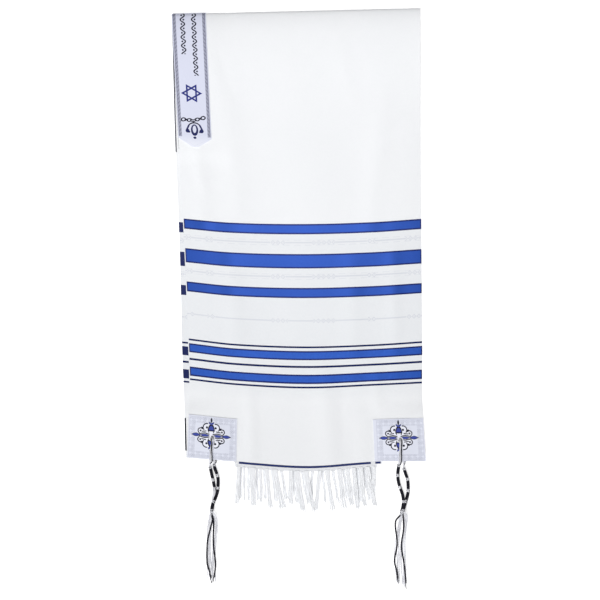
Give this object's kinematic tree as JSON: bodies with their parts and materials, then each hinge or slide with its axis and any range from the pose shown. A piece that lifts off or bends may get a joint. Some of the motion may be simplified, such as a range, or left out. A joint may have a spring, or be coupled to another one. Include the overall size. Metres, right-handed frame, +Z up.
{
  "type": "tallit prayer shawl, folded and laid flat",
  "caption": "White woven prayer shawl with blue bands, neck band, corner patches, fringe and knotted corner tassels, folded once across its length and laid flat.",
  "frame": {"origin": "on the underside of the lower layer, near the middle of the folded cloth, where it rests on the surface", "axes": "+X from the neck edge to the outer edge, +Y from the fringed hems to the fold, +Z up from the surface the shawl lies on"},
  "size_m": [0.4769, 1.088, 0.0143],
  "materials": {
    "woven_white_cloth": "soft plain weave, white, with satin blue bands woven across near each hem",
    "band_satin": "pale lilac satin with woven grey and blue ornament",
    "patch_satin": "pale lilac satin with a woven blue and grey medallion",
    "fringe_yarn": "loose white twisted yarn",
    "tzitzit_thread": "white cord with dark windings"
  },
  "bodies": {
    "root": {"body_cloth": "woven_white_cloth", "neck_band": "band_satin", "corner_patch_upper_left": "patch_satin", "corner_patch_upper_right": "patch_satin", "corner_patch_lower_left": "patch_satin", "corner_patch_lower_right": "patch_satin", "fringe_upper": "fringe_yarn", "fringe_lower": "fringe_yarn", "tzitzit_upper_left": "tzitzit_thread", "tzitzit_upper_right": "tzitzit_thread", "tzitzit_lower_left": "tzitzit_thread", "tzitzit_lower_right": "tzitzit_thread"}
  },
  "joints": []
}
